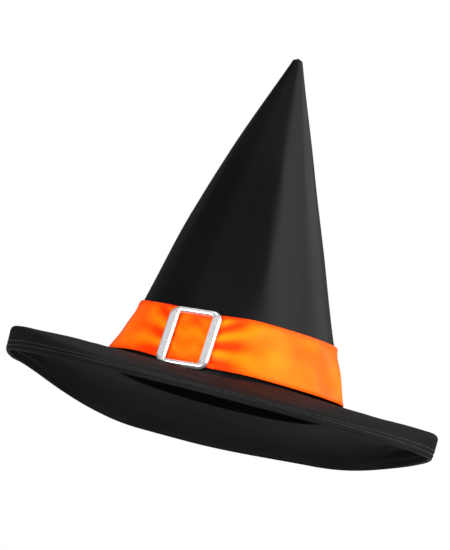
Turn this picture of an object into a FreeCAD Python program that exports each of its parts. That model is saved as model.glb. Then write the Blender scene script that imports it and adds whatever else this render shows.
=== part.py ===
"""A witch hat: a tall stiffened cone over a wide drooping brim, with a satin band and a slider buckle.

Millimetres, +Z up. The hat stands on its hem at Z = 0, with the crown's axis on the Z axis.
The buckle faces -Y and the crown's seam is at +Y. The cloth is drawn as cut and sewn, before it sags.
"""

import FreeCAD, Part
import Sketcher
import math
import os

V = FreeCAD.Vector
doc = FreeCAD.newDocument("witch_hat")

# ---------------------------------------------------------------- driving dimensions
DIMENSIONS = {
    # head opening
    "head_radius": 92.0,
    "sweat_thick": 1.0,
    "sweat_drop": 3.9,
    "sweat_straight": 2.3,
    "sweat_top": 24.0,
    # brim
    "brim_radius": 181.0,
    "brim_hole": 93.1,
    "foot_height": 51.0,
    "seam_drop": 7.0,
    "cloth_thick": 0.6,
    "foam_thick": 2.4,
    "layer_gap": 0.05,
    "hem_width": 6.4,
    "hem_level": 0.0,
    "wire_ring": 177.6,
    "wire_radius": 0.8,
    "sleeve_radius": 1.15,
    "wire_play": 0.05,
    "sleeve_angle": 8.0,
    "inner_row": 175.0,
    "outer_row": 179.8,
    "opening_row": 96.6,
    "stitch_width": 0.5,
    "stitch_raise": 0.25,
    # crown
    "crown_radius": 96.5,
    "crown_height": 271.5,
    "crown_meet": 281.1,
    "crown_belly": 2.0,
    "crown_foot": 0.1,
    "cover_inset": 0.0,
    "tip_radius": 0.0,
    "shell_thick": 0.6,
    "stiffener_thick": 1.5,
    "lining_thick": 0.4,
    "tape_width": 12.0,
    "tape_thick": 0.5,
    "tape_low": 26.0,
    "tape_high": 225.0,
    # band
    "band_low": -2.6,
    "band_high": 40.0,
    "band_gap": 2.1,
    "band_thick": 0.8,
    "lap_angle": 15.0,
    "tack_radius": 0.6,
    "tack_clear": 0.1,
    # buckle
    "buckle_width": 44.5,
    "buckle_height": 52.0,
    "side_bar": 7.75,
    "end_bar": 4.8,
    "buckle_thick": 3.4,
    "buckle_corner": 8.0,
    "window_corner": 2.0,
    "buckle_bevel": 1.1,
    "buckle_mid": 17.5,
    "buckle_roll": 4.5,
    "bar_width": 5.0,
    "bar_thick": 1.2,
    "bar_clear": 0.5,
    "leg_thick": 1.5,
    "leg_overlap": 1.0,
    "frame_clear": 0.5,
}

sheet = doc.addObject("Spreadsheet::Sheet", "dims")
for row, (alias, value) in enumerate(DIMENSIONS.items(), start=1):
    sheet.set(f"A{row}", alias)
    sheet.set(f"B{row}", str(value))
    sheet.setAlias(f"B{row}", alias)
doc.recompute()


def dim(alias):
    return float(sheet.get(alias))


# ---------------------------------------------------------------- helpers
def body_plane(body, role):
    return next(f for f in body.Origin.OriginFeatures if f.Role == role)


def value_of(expression):
    """The number an expression of the sheet comes to."""
    return float(sheet.evalExpression(expression.replace("dims.", "")))


def outline_sketch(body, name, role, corners):
    """A closed polygon on one of the body's planes; each corner is a pair of expressions of the sheet."""
    sketch = body.newObject("Sketcher::SketchObject", name)
    sketch.AttachmentSupport = (body_plane(body, role), [""])
    sketch.MapMode = "FlatFace"
    count = len(corners)
    start = [V(value_of(x), value_of(y), 0) for x, y in corners]
    for i in range(count):
        sketch.addGeometry(Part.LineSegment(start[i], start[(i + 1) % count]), False)
    for i in range(count):
        sketch.addConstraint(Sketcher.Constraint("Coincident", i, 2, (i + 1) % count, 1))
    for i, pair in enumerate(corners):
        for kind, expression, now in zip(("DistanceX", "DistanceY"), pair, (start[i].x, start[i].y)):
            at = sketch.addConstraint(Sketcher.Constraint(kind, i, 1, now))
            sketch.setExpression(f"Constraints[{at}]", expression)
    return sketch


def turned_body(name, corners, angle=None):
    """A body made by turning a profile in the XZ plane about Z, all round or through an angle."""
    body = doc.addObject("PartDesign::Body", name)
    sketch = outline_sketch(body, name + "_profile", "XZ_Plane", corners)
    turned = body.newObject("PartDesign::Revolution", name + "_turn")
    turned.Profile = sketch
    turned.ReferenceAxis = (sketch, ["V_Axis"])
    if angle:
        turned.setExpression("Angle", angle)
        turned.Midplane = True
    return body


def edges_where(shape, test):
    return [f"Edge{i}" for i, edge in enumerate(shape.Edges, start=1) if test(edge)]


# ---------------------------------------------------------------- crown: nested cones
# Stations up the cone's side: share of crown_meet, share of the belly.
CROWN_STATIONS = [(0.0, 0.0), (0.18, 0.0), (0.26, 0.6), (0.36, 1.0), (0.55, 1.2), (0.75, 1.1), (0.915, 0.3)]
SMALLEST_RADIUS = 1.0
# The brim is sewn on below the band, where the crown's foot runs straight down.
SEAM = "(dims.foot_height - dims.seam_drop)"


def crown_line(inset):
    """Corners up a cone that lies inset millimetres inside the crown's outer surface, foot first."""
    corners = [(f"dims.crown_radius - ({inset})", f"{SEAM} + dims.crown_foot")]
    for share, belly in CROWN_STATIONS:
        radius = f"dims.crown_radius * {1 - share:.4f} + dims.crown_belly * {belly} - ({inset})"
        if value_of(radius) > SMALLEST_RADIUS:
            corners.append((radius, f"dims.foot_height + dims.crown_foot + dims.crown_meet * {share}"))
    last_share, last_belly = CROWN_STATIONS[-1]
    tip_radius = f"(dims.crown_radius * {1 - last_share:.4f} + dims.crown_belly * {last_belly})"
    tip_rise = f"(dims.crown_height - dims.crown_meet * {last_share})"
    tip = f"dims.foot_height + dims.crown_height - ({inset}) * {tip_rise} / {tip_radius}"
    return [*corners, ("dims.tip_radius", tip)]


def crown_shell(name, inset, thick):
    outside = crown_line(inset)
    inside = crown_line(f"{inset} + {thick}")
    return turned_body(name, [*outside, *reversed(inside)])


STIFFENER_INSET = "dims.shell_thick + dims.layer_gap"
LINING_INSET = f"{STIFFENER_INSET} + dims.stiffener_thick + dims.layer_gap"
TAPE_INSET = f"{LINING_INSET} + dims.lining_thick + dims.layer_gap"

crown_cover = crown_shell("crown_cover", "dims.cover_inset", "dims.shell_thick")
crown_stiffener = crown_shell("crown_stiffener", STIFFENER_INSET, "dims.stiffener_thick")
crown_lining = crown_shell("crown_lining", LINING_INSET, "dims.lining_thick")

# the tape that covers the crown's one seam, up the inside of the back
tape_shell = crown_shell("tape_shell", TAPE_INSET, "dims.tape_thick")
tape_slice = doc.addObject("Part::Box", "tape_slice")
tape_slice.setExpression("Length", "dims.tape_width")
tape_slice.setExpression("Width", "dims.crown_radius")
tape_slice.setExpression("Height", "dims.tape_high - dims.tape_low")
tape_slice.setExpression("Placement.Base.x", "-dims.tape_width / 2")
tape_slice.setExpression("Placement.Base.z", "dims.foot_height + dims.tape_low")
crown_seam_tape = doc.addObject("Part::Common", "crown_seam_tape")
crown_seam_tape.Base = tape_shell
crown_seam_tape.Tool = tape_slice

# ---------------------------------------------------------------- sweatband: a straight lip, then up the cone
TAPER = "(dims.crown_radius / dims.crown_meet)"
CLIMB = f"{TAPER} * (dims.sweat_top - dims.sweat_straight)"
LIP_LOW = f"{SEAM} - dims.sweat_drop"
LIP_HIGH = "dims.foot_height + dims.sweat_straight"
SWEAT_HIGH = "dims.foot_height + dims.sweat_top"
LIP_OUT = "dims.head_radius + dims.sweat_thick"
sweatband = turned_body(
    "sweatband",
    [
        ("dims.head_radius", LIP_LOW),
        (LIP_OUT, LIP_LOW),
        (LIP_OUT, LIP_HIGH),
        (f"{LIP_OUT} - {CLIMB}", SWEAT_HIGH),
        (f"dims.head_radius - {CLIMB}", SWEAT_HIGH),
        ("dims.head_radius", LIP_HIGH),
    ],
)

# ---------------------------------------------------------------- brim: cloth over foam, hem turned under
# Stations out from the opening: share of the way out, share of the droop. The last two make the level hem.
BRIM_STATIONS = [
    (0.0, 0.0),
    (0.12, 0.03),
    (0.3, 0.14),
    (0.5, 0.34),
    (0.68, 0.6),
    (0.82, 0.83),
    (0.92, 1.0),
    (1.0, 1.0),
]
STACK = "(2 * dims.cloth_thick + dims.foam_thick + 2 * dims.layer_gap)"
FOAM_TOP = "dims.cloth_thick + dims.layer_gap"
FACING_TOP = f"{FOAM_TOP} + dims.foam_thick + dims.layer_gap"


def brim_line(depth, stations):
    """Corners out along the brim, a depth below the top cloth's face."""
    return [
        (
            f"dims.brim_hole + {share} * (dims.brim_radius - dims.brim_hole)",
            f"{SEAM} - {fall} * ({SEAM} - {STACK}) - ({depth})",
        )
        for share, fall in stations
    ]


def brim_layer(name, top, bottom):
    inside_hem = BRIM_STATIONS[:-1]
    return turned_body(name, [*brim_line(top, inside_hem), *reversed(brim_line(bottom, inside_hem))])


HEM_IN = "dims.brim_radius - dims.hem_width"
EDGE_IN = "dims.brim_radius - dims.cloth_thick"
brim_top_cover = turned_body(
    "brim_top_cover",
    [
        *brim_line("dims.cover_inset", BRIM_STATIONS),
        ("dims.brim_radius", "dims.hem_level"),
        (HEM_IN, "dims.hem_level"),
        (HEM_IN, "dims.cloth_thick"),
        (EDGE_IN, "dims.cloth_thick"),
        (EDGE_IN, f"{STACK} - dims.cloth_thick"),
        *reversed(brim_line("dims.cloth_thick", BRIM_STATIONS[:-1])),
    ],
)
brim_stiffener = brim_layer("brim_stiffener", FOAM_TOP, f"{FOAM_TOP} + dims.foam_thick")
brim_facing = brim_layer("brim_facing", FACING_TOP, STACK)

# the sprung wire in the hem, its two ends held in one sleeve at the back
BACK = FreeCAD.Rotation(V(0, 0, 1), 90)
WIRE_LEVEL = f"{STACK} / 2"


def wire_arc(name, radius, angle, turn):
    arc = doc.addObject("Part::Torus", name)
    arc.setExpression("Radius1", "dims.wire_ring")
    arc.setExpression("Radius2", radius)
    arc.setExpression("Angle3", angle)
    arc.Placement.Rotation = FreeCAD.Rotation(V(0, 0, 1), turn)
    arc.setExpression("Placement.Base.z", WIRE_LEVEL)
    return arc


WIRE_GAP = 0.5
brim_edge_wire = wire_arc("brim_edge_wire", "dims.wire_radius", f"{360 - WIRE_GAP}", 90 + WIRE_GAP / 2)
half_sleeve = dim("sleeve_angle") / 2
sleeve_out = wire_arc("sleeve_out", "dims.sleeve_radius", "dims.sleeve_angle", 90 - half_sleeve)
sleeve_in = wire_arc("sleeve_in", "dims.wire_radius + dims.wire_play", "dims.sleeve_angle", 90 - half_sleeve)
wire_sleeve = doc.addObject("Part::Cut", "wire_sleeve")
wire_sleeve.Base = sleeve_out
wire_sleeve.Tool = sleeve_in


def stitch_row(name, radius, level, rise):
    """A raised ring of thread, from a level to that level plus its rise."""
    return turned_body(
        name,
        [
            (radius, level),
            (f"{radius} + dims.stitch_width", level),
            (f"{radius} + dims.stitch_width", f"{level} + {rise}"),
            (radius, f"{level} + {rise}"),
        ],
    )


HEM_TOP = f"{STACK} + dims.layer_gap / 2"
brim_stitch_inner = stitch_row("brim_stitch_inner", "dims.inner_row", HEM_TOP, "dims.stitch_raise")
brim_stitch_outer = stitch_row("brim_stitch_outer", "dims.outer_row", HEM_TOP, "dims.stitch_raise")
# the row that joins crown, brim and sweatband shows on the facing, just outside the opening
first_share, first_fall = BRIM_STATIONS[1]
OUT_SHARE = "(dims.opening_row + dims.stitch_width - dims.brim_hole) / (dims.brim_radius - dims.brim_hole)"
OPENING_DROP = f"{OUT_SHARE} * {first_fall / first_share:.4f} * ({SEAM} - {STACK})"
opening_stitch = stitch_row(
    "opening_stitch",
    "dims.opening_row",
    f"{SEAM} - {STACK} - {OPENING_DROP} - dims.layer_gap",
    "(-dims.stitch_raise)",
)

# ---------------------------------------------------------------- band round the foot of the crown
SLOPE = math.atan(dim("crown_radius") / dim("crown_meet"))
COS_SLOPE = f"{math.cos(SLOPE):.6f}"


def on_cone(height, off):
    """Radius, at a height over the foot, of a cone that stands off the crown's surface."""
    return f"dims.crown_radius - {TAPER} * ({height} - dims.crown_foot) + ({off}) / {COS_SLOPE}"


def band_corners(inner, outer, low="dims.band_low", high="dims.band_high"):
    return [
        (on_cone(low, inner), f"dims.foot_height + {low}"),
        (on_cone(low, outer), f"dims.foot_height + {low}"),
        (on_cone(high, outer), f"dims.foot_height + {high}"),
        (on_cone(high, inner), f"dims.foot_height + {high}"),
    ]


BAND_OUT = "dims.band_gap + dims.band_thick"
hat_band = turned_body("hat_band", band_corners("dims.band_gap", BAND_OUT))
band_lap_end = turned_body(
    "band_lap_end",
    band_corners(f"{BAND_OUT} + dims.layer_gap", f"{BAND_OUT} + dims.layer_gap + dims.band_thick"),
    "dims.lap_angle * 1deg",
)
band_lap_end.Placement.Rotation = BACK

# thread tacks hold the band to the crown at four places, clear of the buckle's travel
TACK_TURNS = (20, 70, 110, 160)
TACK_HEIGHT = 40.0


def band_tack(number, turn):
    tack = doc.addObject("Part::Cylinder", f"tack{number}")
    tack.setExpression("Radius", "dims.tack_radius")
    tack.setExpression("Height", "dims.band_gap - 2 * dims.layer_gap - dims.tack_clear")
    surface = dim("crown_radius") - math.tan(SLOPE) * (TACK_HEIGHT - dim("crown_foot"))
    foot = surface + dim("tack_clear") / math.cos(SLOPE)
    around = FreeCAD.Rotation(V(0, 0, 1), turn)
    outward = FreeCAD.Rotation(V(0, 1, 0), 90 - math.degrees(SLOPE))
    place = around.multVec(V(foot, 0, dim("foot_height") + TACK_HEIGHT))
    tack.Placement = FreeCAD.Placement(place, around.multiply(outward))
    return tack


band_tacks = doc.addObject("Part::Compound", "band_tacks")
band_tacks.Links = [band_tack(number, turn) for number, turn in enumerate(TACK_TURNS)]

# ---------------------------------------------------------------- slider buckle
# Its own frame: X along the band, Y up the slope, Z out from the crown's surface.
TOLERANCE = 1e-3
FRAME_BACK = "(dims.band_gap + dims.band_thick + dims.frame_clear)"


def rectangle_corners(across, low, high):
    return [(f"-({across})", low), (across, low), (across, high), (f"-({across})", high)]


def pad(body, name, corners, start, length):
    """A pad of an outline, from start to start + length out from the crown."""
    sketch = outline_sketch(body, f"{name}_outline", "XY_Plane", corners)
    sketch.setExpression("AttachmentOffset.Base.z", start)
    made = body.newObject("PartDesign::Pad", name)
    made.Profile = sketch
    made.setExpression("Length", length)
    return made


def standing_edges(shape, half_across, half_up):
    """Edges along Z at the corners of a rectangle."""

    def test(edge):
        upright = abs(edge.tangentAt(edge.FirstParameter).z)
        at = edge.valueAt(edge.FirstParameter)
        across_off, up_off = abs(abs(at.x) - half_across), abs(abs(at.y) - half_up)
        return max(1 - upright, across_off, up_off) < TOLERANCE

    return edges_where(shape, test)


def dressed(body, kind, name, base, edges, size):
    feature = body.newObject(f"PartDesign::{kind}", name)
    feature.Base = (base, edges)
    feature.setExpression("Radius" if kind == "Fillet" else "Size", size)
    doc.recompute()
    return feature


def build_buckle():
    body = doc.addObject("PartDesign::Body", "buckle_frame")
    half_height = "dims.buckle_height / 2"
    open_height = f"({half_height} - dims.end_bar)"
    open_width = "(dims.buckle_width / 2 - dims.side_bar)"
    last = pad(
        body, "frame", rectangle_corners("dims.buckle_width / 2", f"-{half_height}", half_height),
        FRAME_BACK, "dims.buckle_thick",
    )
    opening = outline_sketch(
        body, "window_outline", "XY_Plane", rectangle_corners(open_width, f"-{open_height}", open_height)
    )
    window = body.newObject("PartDesign::Pocket", "window")
    window.Profile = opening
    window.Type = "ThroughAll"
    window.Midplane = True
    doc.recompute()
    half_w, half_h = value_of("dims.buckle_width / 2"), value_of(half_height)
    corners = standing_edges(window.Shape, half_w, half_h)
    last = dressed(body, "Fillet", "outer_corners", window, corners, "dims.buckle_corner")
    corners = standing_edges(last.Shape, value_of(open_width), value_of(open_height))
    last = dressed(body, "Fillet", "window_corners", last, corners, "dims.window_corner")
    front = value_of(f"{FRAME_BACK} + dims.buckle_thick")
    rim = edges_where(last.Shape, lambda edge: edge.BoundBox.ZMin > front - TOLERANCE)
    dressed(body, "Chamfer", "front_bevel", last, rim, "dims.buckle_bevel")

    # two legs and a bar behind the band, moulded with the frame
    leg_in = f"({half_height} - dims.leg_thick)"
    for name, low, high in (("top_leg", leg_in, half_height), ("foot_leg", f"-{half_height}", f"-{leg_in}")):
        pad(
            body, name, rectangle_corners("dims.bar_width / 2", low, high),
            "dims.bar_clear", f"{FRAME_BACK} + dims.leg_overlap - dims.bar_clear",
        )
    pad(
        body, "centre_bar", rectangle_corners("dims.bar_width / 2", f"-{half_height}", half_height),
        "dims.bar_clear", "dims.bar_thick",
    )
    foot = dim("crown_radius") - math.tan(SLOPE) * (dim("buckle_mid") - dim("crown_foot"))
    lean = FreeCAD.Rotation(V(1, 0, 0), 90 - math.degrees(SLOPE))
    roll = FreeCAD.Rotation(V(0, 0, 1), dim("buckle_roll"))
    place = V(0, -foot, dim("foot_height") + dim("buckle_mid"))
    body.Placement = FreeCAD.Placement(place, lean.multiply(roll))
    return body


buckle_frame = build_buckle()

# ---------------------------------------------------------------- check and write
NODES = [
    crown_cover,
    crown_stiffener,
    crown_lining,
    crown_seam_tape,
    sweatband,
    brim_top_cover,
    brim_stiffener,
    brim_facing,
    brim_edge_wire,
    wire_sleeve,
    brim_stitch_inner,
    brim_stitch_outer,
    opening_stitch,
    hat_band,
    band_lap_end,
    band_tacks,
    buckle_frame,
]
for node in NODES:
    node.Label = node.Name
doc.recompute()

for item in doc.Objects:
    bad = {"Invalid", "Error"} & set(item.State)
    if bad:
        raise RuntimeError(f"{item.Label} is {bad}")

os.makedirs("parts", exist_ok=True)
for node in NODES:
    shape = node.Shape
    if shape.isNull() or not shape.isValid():
        raise RuntimeError(f"{node.Label} has no valid shape")
    shape.exportStep(f"parts/{node.Label}.step")
    box = shape.BoundBox
    print(
        f"{node.Label}: {len(shape.Solids)} solids, {shape.Volume / 1000:.2f} cm3,"
        f" z {box.ZMin:.1f} to {box.ZMax:.1f}, {box.XLength:.1f} x {box.YLength:.1f}"
    )
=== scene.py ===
"""Looks for the witch hat: satin cone and brim, orange band, silver slider buckle.

Metres and radians, +Z up, buckle at -Y. A turn is an angle about Z, from +X.
"""
import math

import bpy
import numpy as np
from mathutils import Matrix, Vector, noise


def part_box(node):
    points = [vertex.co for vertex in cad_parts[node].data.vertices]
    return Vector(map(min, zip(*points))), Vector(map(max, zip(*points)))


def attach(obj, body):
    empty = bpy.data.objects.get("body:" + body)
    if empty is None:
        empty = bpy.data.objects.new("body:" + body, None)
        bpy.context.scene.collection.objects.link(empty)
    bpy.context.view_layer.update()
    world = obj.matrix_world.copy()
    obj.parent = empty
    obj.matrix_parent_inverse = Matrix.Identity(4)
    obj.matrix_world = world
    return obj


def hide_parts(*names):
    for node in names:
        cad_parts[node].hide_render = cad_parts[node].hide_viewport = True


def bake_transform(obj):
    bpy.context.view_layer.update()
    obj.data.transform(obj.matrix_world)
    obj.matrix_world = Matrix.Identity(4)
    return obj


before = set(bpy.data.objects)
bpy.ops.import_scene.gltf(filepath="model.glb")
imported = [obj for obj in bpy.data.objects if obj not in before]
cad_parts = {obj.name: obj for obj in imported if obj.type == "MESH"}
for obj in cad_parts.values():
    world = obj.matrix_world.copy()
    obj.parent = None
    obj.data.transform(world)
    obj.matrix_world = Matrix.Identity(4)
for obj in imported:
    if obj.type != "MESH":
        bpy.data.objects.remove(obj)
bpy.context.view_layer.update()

TAU = 2 * math.pi

# ---------------------------------------------------------------- sizes, from the frame where it holds them
SEAM_DROP = 0.0069  # the crown's foot and the brim's seam lie this far under the seat
MEET_SHARE = 1.0354
CROWN_WALL = 0.0034
SWEAT_WALL = 0.001
crown_low, crown_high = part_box("crown_cover")
sweat_low, sweat_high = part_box("sweatband")
seat = crown_low.z + SEAM_DROP  # the brim's level beside the band
crown_tall = crown_high.z - seat
crown_radius = crown_high.x
crown_meet = crown_tall * MEET_SHARE  # where the straight sides of the lower cone would meet
hole_radius = crown_radius - CROWN_WALL
head_radius = sweat_high.x - SWEAT_WALL
sweat_drop = seat - sweat_low.z
SLOPE = math.atan(crown_radius / crown_meet)
LEAN_TURN = math.radians(23.0)  # the crown leans away from here, and the brim's ends stay level along it
along = np.array([math.cos(LEAN_TURN), math.sin(LEAN_TURN)])


def smooth(x):
    x = np.clip(x, 0.0, 1.0)
    return x * x * (3 - 2 * x)


RIPPLE_RADIUS = 0.09  # the drum that the noise is laid round


def ripple(turn, up, size, seed):
    """Soft noise over arrays of turn and up; size is the width of one ripple."""
    flat = [
        noise.noise(Vector((
            math.cos(a) * RIPPLE_RADIUS / size, math.sin(a) * RIPPLE_RADIUS / size, b / size + seed,
        )))
        for a, b in zip(turn.ravel(), up.ravel())
    ]
    return np.array(flat).reshape(turn.shape)


def around(turn, centre, width):
    """1 at a turn, falling smoothly to 0 at width radians to each side."""
    away = np.abs((turn - centre + math.pi) % TAU - math.pi)
    return smooth(1 - away / width)


BUCKLE_TURN = -math.pi / 2
BUCKLE_DIP = 0.0056  # how far the buckle's foot presses the brim down
SOFT_DENT = (BUCKLE_TURN + 0.15, 0.56)  # turn and half width
SOFT_REACH = 0.045
FOOT_DENT = (BUCKLE_TURN - 0.12, 0.98)  # along the whole of the buckle's travel
FOOT_REACH = 0.016
FOOT_FLAT = 1.5
SEAM_LEDGE = 0.0008
GROOVE_REACH = 0.0065  # the groove between brim and crown, down to the seam
GROOVE_CLOSED = 0.0035  # how much narrower it is to the buckle's left
CLOSED_AT = (BUCKLE_TURN - 0.7, 0.6)


def foot_dip(turn, out):
    """How far the brim lies under its own level, out metres from the crown's foot."""
    wide = around(turn, *SOFT_DENT) * smooth(1 - out / SOFT_REACH)
    under_foot = around(turn, *FOOT_DENT) * smooth(FOOT_FLAT - out / FOOT_REACH)
    pressed = BUCKLE_DIP * np.maximum(wide, under_foot)
    tight = around(turn, *CLOSED_AT)
    sewn = (SEAM_DROP - SEAM_LEDGE) * smooth(1 - out / (GROOVE_REACH - GROOVE_CLOSED * tight))
    return np.maximum(pressed, sewn)


# ---------------------------------------------------------------- mesh building
def grid_object(name, points, closed, uv=None, flip=False):
    """A mesh over a grid of points shaped rows x columns x 3; closed joins the last column to the first."""
    rows, columns = points.shape[:2]
    wrap = columns if closed else columns - 1
    faces = []
    for i in range(rows - 1):
        for j in range(wrap):
            k = (j + 1) % columns
            quad = (i * columns + j, i * columns + k, (i + 1) * columns + k, (i + 1) * columns + j)
            faces.append(quad[::-1] if flip else quad)
    mesh = bpy.data.meshes.new(name)
    mesh.from_pydata(points.reshape(-1, 3).tolist(), [], faces)
    if uv is not None:
        layer = mesh.uv_layers.new(name="cloth")
        span = uv[0, 1, 0] - uv[0, 0, 0] if columns > 1 else 0
        coordinates = []
        for i in range(rows - 1):
            for j in range(wrap):
                quad = [(i, j), (i, j + 1), (i + 1, j + 1), (i + 1, j)]
                for r, c in quad[::-1] if flip else quad:
                    u, v = uv[r, c % columns]
                    coordinates += [u + (span * columns if c == columns else 0), v]
        layer.data.foreach_set("uv", coordinates)
    mesh.shade_smooth()
    piece = bpy.data.objects.new(name, mesh)
    bpy.context.scene.collection.objects.link(piece)
    return piece


def thicken(piece, thickness):
    """Gives a surface its cloth thickness, inwards from the drawn face."""
    skin = piece.modifiers.new("cloth", "SOLIDIFY")
    skin.thickness = thickness
    skin.offset = -1.0
    skin.use_even_offset = True
    return piece


def paint(piece, material):
    piece.data.materials.clear()
    piece.data.materials.append(material)
    return piece


def finish_piece(piece, material, slot, body, *nodes):
    paint(piece, material)
    if body:
        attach(piece, body)
    if nodes:
        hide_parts(*nodes)
    return piece


def tube_points(path, radius, sides=10):
    """Rings of points round a path of 3-D points."""
    ahead = np.gradient(path, axis=0)
    ahead /= np.linalg.norm(ahead, axis=1)[:, None]
    side = np.cross(ahead, [0, 0, 1.0])
    side /= np.linalg.norm(side, axis=1)[:, None]
    up = np.cross(side, ahead)
    angles = np.arange(sides) * TAU / sides
    ring = np.cos(angles)[None, :, None] * side[:, None] + np.sin(angles)[None, :, None] * up[:, None]
    return path[:, None] + radius * ring


# ---------------------------------------------------------------- materials
def new_material(name, **values):
    material = bpy.data.materials.new(name)
    material.use_nodes = True
    shader = material.node_tree.nodes["Principled BSDF"]
    for key, value in values.items():
        shader.inputs[key.replace("_", " ")].default_value = value
    return material, material.node_tree, shader


def add_node(tree, kind, **values):
    node = tree.nodes.new(kind)
    for key, value in values.items():
        if key in node.inputs:
            node.inputs[key].default_value = value
        else:
            setattr(node, key, value)
    return node


WAVES_PER_UNIT = 20  # a wave texture of scale 1 repeats this often over one unit
SATIN_PITCH, SATIN_DEPTH = 0.0005, 0.00002
CLOTH_PITCH, CLOTH_DEPTH = 0.0008, 0.00008
FELT_PITCH = 0.002


def weave_bump(tree, shader, pitch, depth, folds_scale, folds_depth):
    """Fine thread lines across the cloth, over soft low unevenness."""
    place = add_node(tree, "ShaderNodeUVMap", uv_map="cloth")
    scale = 1 / pitch / WAVES_PER_UNIT
    lines = add_node(tree, "ShaderNodeTexWave", bands_direction="DIAGONAL", Scale=scale, Distortion=0.6)
    tree.links.new(place.outputs["UV"], lines.inputs["Vector"])
    where = add_node(tree, "ShaderNodeTexCoord")
    folds = add_node(tree, "ShaderNodeTexNoise", Scale=folds_scale, Detail=3.0, Roughness=0.5)
    tree.links.new(where.outputs["Object"], folds.inputs["Vector"])
    low = add_node(tree, "ShaderNodeBump", Strength=1.0, Distance=folds_depth)
    tree.links.new(folds.outputs["Fac"], low.inputs["Height"])
    high = add_node(tree, "ShaderNodeBump", Strength=0.5, Distance=depth)
    tree.links.new(lines.outputs["Fac"], high.inputs["Height"])
    tree.links.new(low.outputs["Normal"], high.inputs["Normal"])
    tree.links.new(high.outputs["Normal"], shader.inputs["Normal"])
    return folds


def colour_by(tree, shader, driver, stops):
    """Base colour from a ramp over a noise."""
    ramp = add_node(tree, "ShaderNodeValToRGB")
    while len(ramp.color_ramp.elements) < len(stops):
        ramp.color_ramp.elements.new(0.5)
    for element, (position, colour) in zip(ramp.color_ramp.elements, stops):
        element.position = position
        element.color = (*colour, 1)
    tree.links.new(driver, ramp.inputs["Fac"])
    tree.links.new(ramp.outputs["Color"], shader.inputs["Base Color"])


def rescale(tree, driver, start, end):
    """A value taken from one span to another; each span is a pair."""
    span = add_node(tree, "ShaderNodeMapRange")
    for key, value in zip(("From Min", "From Max", "To Min", "To Max"), (*start, *end)):
        span.inputs[key].default_value = value
    tree.links.new(driver, span.inputs["Value"])
    return span.outputs["Result"]


NOISE_LOW, NOISE_HIGH = 0.3, 0.7  # where nearly all of a noise texture lies


def rough_by(tree, shader, driver, low, high):
    """Roughness from low to high over a noise."""
    result = rescale(tree, driver, (NOISE_LOW, NOISE_HIGH), (low, high))
    tree.links.new(result, shader.inputs["Roughness"])


BLACK_DARK, BLACK_PALE = 0.0018, 0.0032
BLUER = 1.06


def black_satin(name, rough, folds, depth, gloss, painted_light_gain=1.0):
    material, tree, shader = new_material(name, Specular_IOR_Level=gloss)
    fold_noise = weave_bump(tree, shader, SATIN_PITCH, SATIN_DEPTH, folds, depth).outputs["Fac"]
    # A gain over 1 makes a paler copy of this satin: painted light.
    dark, pale = ((painted_light_gain * grey, painted_light_gain * grey, painted_light_gain * grey * BLUER) for grey in (BLACK_DARK, BLACK_PALE))
    colour_by(tree, shader, fold_noise, [(NOISE_LOW, dark), (NOISE_HIGH, pale)])
    rough_by(tree, shader, fold_noise, rough - 0.04, rough + 0.06)
    return material


# Painted shade for the folds' valleys (redder), the satin's own orange, and painted highlight for their
# ridges (yellower).
VALLEY_SHADE = (0.76, 0.030, 0.0002)
FLAT_ORANGE = (0.95, 0.105, 0.0004)
RIDGE_HIGHLIGHT = (1.0, 0.190, 0.0015)


def orange_satin():
    """Orange with painted shade, redder in the folds' valleys, and painted highlight, yellower on their
    ridges.
    """
    material, tree, shader = new_material("orange_satin", Specular_IOR_Level=0.05)
    fold_noise = weave_bump(tree, shader, SATIN_PITCH, SATIN_DEPTH, 16.0, 0.0010).outputs["Fac"]
    # The fold attribute holds painted light and shade: 0 is painted shade in a valley, 1 a painted
    # highlight on a ridge.
    fold = add_node(tree, "ShaderNodeAttribute", attribute_name="fold")
    uneven = rescale(tree, fold_noise, (0.25, 0.75), (-0.15, 0.15))
    total = add_node(tree, "ShaderNodeMath", operation="ADD")
    tree.links.new(fold.outputs["Fac"], total.inputs[0])
    tree.links.new(uneven, total.inputs[1])
    colour_by(tree, shader, total.outputs["Value"], [(0.05, VALLEY_SHADE), (0.5, FLAT_ORANGE), (0.95, RIDGE_HIGHLIGHT)])
    rough_by(tree, shader, fold_noise, 0.42, 0.52)
    return material


DARKER = 0.7


def dull_cloth(name, colour, pitch=CLOTH_PITCH, gloss=0.25):
    material, tree, shader = new_material(name, Specular_IOR_Level=gloss)
    fold_noise = weave_bump(tree, shader, pitch, CLOTH_DEPTH, 30.0, 0.0006).outputs["Fac"]
    darker = tuple(DARKER * c for c in colour)
    colour_by(tree, shader, fold_noise, [(NOISE_LOW, darker), (NOISE_HIGH, colour)])
    rough_by(tree, shader, fold_noise, 0.7, 0.85)
    return material


def thread(name, colour):
    material, tree, shader = new_material(name, Specular_IOR_Level=0.4)
    where = add_node(tree, "ShaderNodeTexCoord")
    twist = add_node(tree, "ShaderNodeTexWave", bands_direction="DIAGONAL", Scale=260.0, Distortion=1.0)
    tree.links.new(where.outputs["Object"], twist.inputs["Vector"])
    bump = add_node(tree, "ShaderNodeBump", Strength=0.6, Distance=0.00008)
    tree.links.new(twist.outputs["Fac"], bump.inputs["Height"])
    tree.links.new(bump.outputs["Normal"], shader.inputs["Normal"])
    colour_by(tree, shader, twist.outputs["Fac"], [(0.2, tuple(DARKER * c for c in colour)), (0.8, colour)])
    rough_by(tree, shader, twist.outputs["Fac"], 0.45, 0.6)
    return material


def steel():
    material, tree, shader = new_material("spring_steel", Metallic=1.0)
    where = add_node(tree, "ShaderNodeTexCoord")
    drawn = add_node(tree, "ShaderNodeTexNoise", Scale=400.0, Detail=2.0)
    tree.links.new(where.outputs["Object"], drawn.inputs["Vector"])
    greys = [(NOISE_LOW, (0.34, 0.34, 0.35)), (NOISE_HIGH, (0.46, 0.46, 0.47))]
    colour_by(tree, shader, drawn.outputs["Fac"], greys)
    rough_by(tree, shader, drawn.outputs["Fac"], 0.3, 0.42)
    return material


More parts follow.
